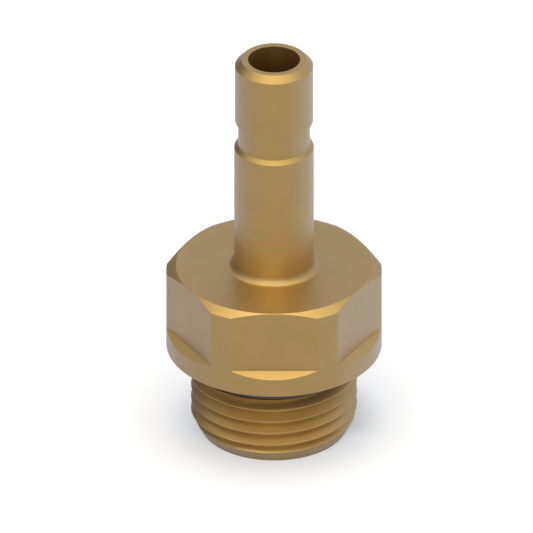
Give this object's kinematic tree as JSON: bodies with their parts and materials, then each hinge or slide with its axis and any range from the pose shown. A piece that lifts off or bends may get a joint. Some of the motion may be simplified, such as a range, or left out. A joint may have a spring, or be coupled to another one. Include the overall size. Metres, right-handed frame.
{
  "type": "plug-in stem adapter fitting",
  "caption": "Brass adapter with a smooth grooved plug-in stem, a six-sided spanner body on a round flange and a parallel male pipe thread with a sealing ring.",
  "frame": {"origin": "centre of the threaded end's flat face, the lowest face of the part as it stands", "axes": "+Z along the axis of turning, from the threaded end to the stem's tip; -Y out of the spanner flat that faces the viewer"},
  "size_m": [0.0216, 0.0216, 0.0422],
  "materials": {
    "turned_brass": "satin, fine turning marks",
    "seal_rubber": "matt black"
  },
  "bodies": {
    "root": {"fitting_body": "turned_brass", "sealing_ring": "seal_rubber"}
  },
  "joints": []
}
